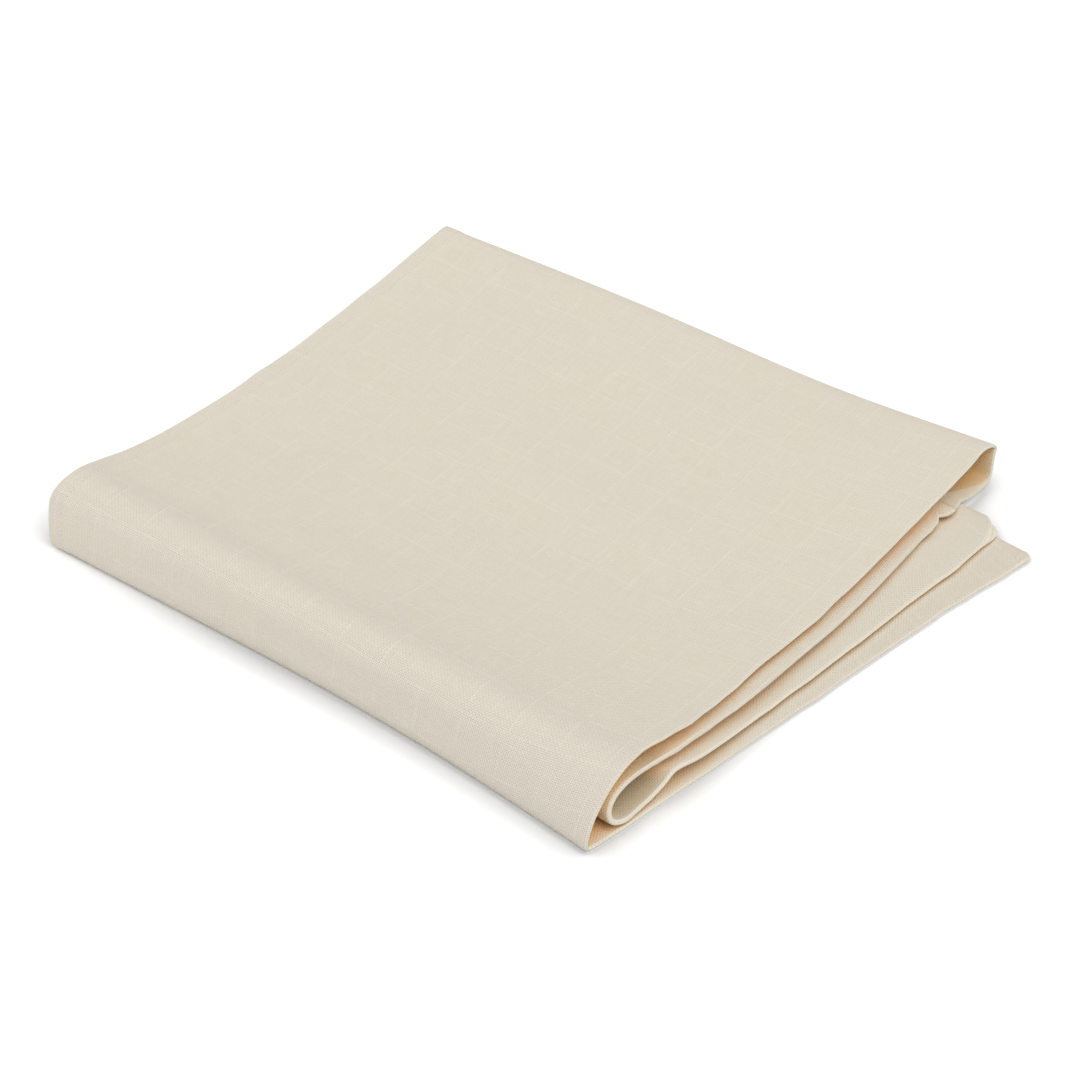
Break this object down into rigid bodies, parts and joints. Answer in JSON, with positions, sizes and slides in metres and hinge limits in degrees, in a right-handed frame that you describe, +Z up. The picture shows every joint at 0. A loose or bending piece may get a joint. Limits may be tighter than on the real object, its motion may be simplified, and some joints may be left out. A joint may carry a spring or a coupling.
{
  "type": "swaddle blanket",
  "caption": "Thin square muslin swaddle blanket, folded over and over into a flat square parcel with a tall round front fold and an open back fold; wraps or covers a baby.",
  "frame": {"origin": "middle of the footprint's bounding box, on the surface the blanket lies on", "axes": "+Z up; +Y from the tall round fold at the front to the open tube fold at the back; +X towards the side where the folded edges of the layers fan out"},
  "size_m": [0.3372, 0.2978, 0.0348],
  "materials": {
    "muslin": "matt warm cream cotton muslin, fine open plain weave with slightly raised windowpane lines"
  },
  "bodies": {
    "root": {"blanket": "muslin"}
  },
  "joints": []
}
